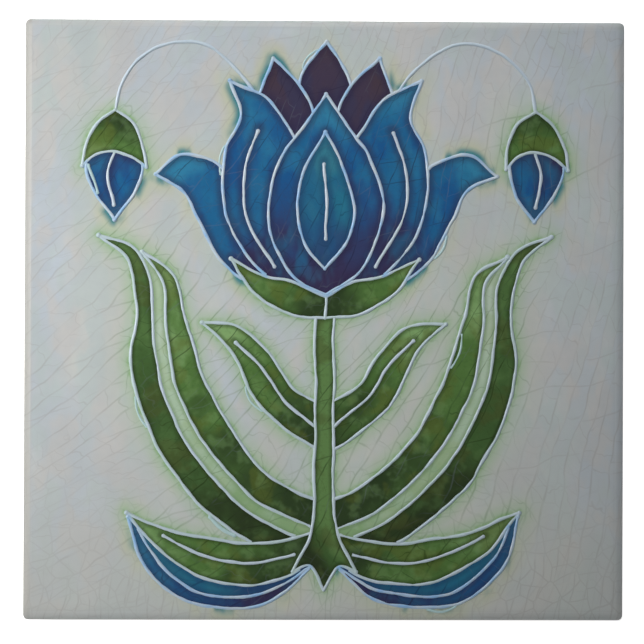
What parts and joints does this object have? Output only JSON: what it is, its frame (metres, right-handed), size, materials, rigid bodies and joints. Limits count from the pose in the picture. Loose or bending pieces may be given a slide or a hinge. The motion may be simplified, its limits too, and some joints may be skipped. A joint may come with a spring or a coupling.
{
  "type": "ceramic wall tile",
  "caption": "Square glazed ceramic wall tile with a rolled face edge, piped slip-line flower ornament in blue and green glaze, and a keyed back.",
  "frame": {"origin": "centre of the back, on the plane that the tile rests on", "axes": "+Z out of the glazed face, +Y towards the top of the ornament, +X to the right of the ornament as seen from the front"},
  "size_m": [0.1524, 0.1524, 0.0095],
  "materials": {
    "ground_glaze": "gloss, finely crazed",
    "biscuit": "matt, unglazed",
    "slip_line": "gloss",
    "blue_glaze": "gloss, pooled",
    "green_glaze": "gloss, pooled"
  },
  "bodies": {
    "root": {"tile": "ground_glaze"}
  },
  "joints": []
}
